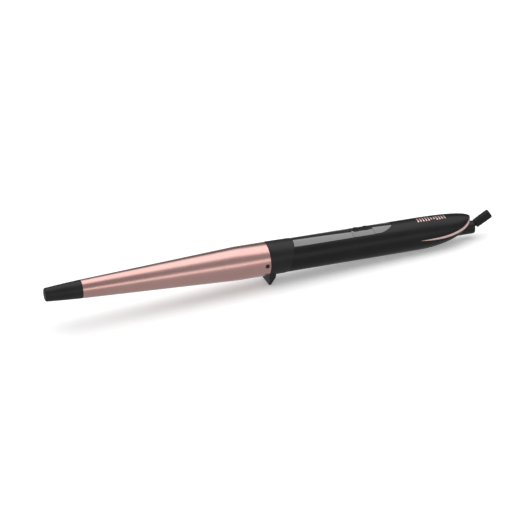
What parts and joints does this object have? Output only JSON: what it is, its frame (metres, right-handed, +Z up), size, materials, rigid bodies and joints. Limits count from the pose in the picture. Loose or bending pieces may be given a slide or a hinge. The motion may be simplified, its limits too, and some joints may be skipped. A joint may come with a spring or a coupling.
{
  "type": "curling wand",
  "caption": "Conical hair curling wand: heated rose-gold barrel with cool tip, collar with rest foot, handle with push buttons, and a swivel with a tilting cord guard.",
  "frame": {"origin": "middle of the flat edge of the foot that the wand rests on", "axes": "+X along the wand from the tip to the cord end, +Z up through the buttons, +Y to the left seen from the tip's side looking along +X"},
  "size_m": [0.35, 0.0252, 0.0312],
  "materials": {
    "heatproof_plastic": "matte",
    "soft_touch": "matte",
    "gloss_panel": "gloss",
    "button_cap": "satin",
    "rose_gold_coat": "satin",
    "rose_gold_trim": "satin",
    "shoe_aluminium": "satin",
    "dark_screw": "satin",
    "steel_screw": "satin",
    "heater_ceramic": "matte",
    "insulator_ceramic": "matte",
    "amber_film": "gloss",
    "component_glass": "gloss",
    "phenolic": "matte",
    "fibreglass": "satin",
    "component_black": "matte",
    "capacitor_case": "gloss",
    "contact_brass": "satin",
    "swivel_nylon": "satin",
    "guard_rubber": "matte",
    "lead_brown": "matte",
    "lead_blue": "matte",
    "lead_white": "matte"
  },
  "bodies": {
    "handle": {"cool_tip": "heatproof_plastic", "tip_insulator": "insulator_ceramic", "barrel": "rose_gold_coat", "barrel_screws": "dark_screw", "heater_shoe_upper": "shoe_aluminium", "heater_shoe_lower": "shoe_aluminium", "ptc_stones": "heater_ceramic", "electrode_upper": "shoe_aluminium", "electrode_lower": "shoe_aluminium", "insulating_sleeve": "amber_film", "thermistor": "component_glass", "thermal_fuse": "insulator_ceramic", "barrel_bush": "phenolic", "collar_stand": "heatproof_plastic", "handle_upper": "soft_touch", "handle_lower": "soft_touch", "trim_band": "rose_gold_trim", "panel_front": "gloss_panel", "button_plate": "gloss_panel", "panel_rear": "gloss_panel", "power_switch": "component_black", "temperature_switch": "component_black", "circuit_board": "fibreglass", "control_chip": "component_black", "indicator_led": "component_glass", "triac": "component_black", "film_capacitor": "capacitor_case", "board_fuse": "component_glass", "board_screws": "steel_screw", "shell_screws": "steel_screw", "swivel_housing": "contact_brass", "brush_holder": "phenolic", "brush_live": "contact_brass", "brush_neutral": "contact_brass", "heater_lead_live": "lead_brown", "heater_lead_neutral": "lead_blue", "thermistor_lead": "lead_white", "mains_lead_live": "lead_brown", "mains_lead_neutral": "lead_blue"},
    "power_button": {"power_button": "button_cap"},
    "temperature_button": {"temperature_button": "button_cap"},
    "swivel": {"swivel_barrel": "swivel_nylon", "swivel_clip": "steel_screw", "swivel_cap": "swivel_nylon", "slip_ring_live": "contact_brass", "slip_ring_neutral": "contact_brass"},
    "guard": {"guard_ball": "swivel_nylon", "cord_guard": "guard_rubber"}
  },
  "joints": [
    {"name": "power_press", "type": "slide", "parent": "handle", "child": "power_button", "axis": [0, 0, -1], "range_m": [0, 0.0005], "stiffness_N_per_m": 600},
    {"name": "temperature_press", "type": "slide", "parent": "handle", "child": "temperature_button", "axis": [0, 0, -1], "range_m": [0, 0.0005], "stiffness_N_per_m": 600},
    {"name": "swivel_spin", "type": "hinge", "parent": "handle", "child": "swivel", "pos_m": [0.1652, 0, 0.01665], "axis": [1, 0, 0], "continuous": true},
    {"name": "guard_tilt", "type": "hinge", "parent": "swivel", "child": "guard", "pos_m": [0.1652, 0, 0.01665], "axis": [0, 1, 0], "range_deg": [-1, 62]}
  ]
}
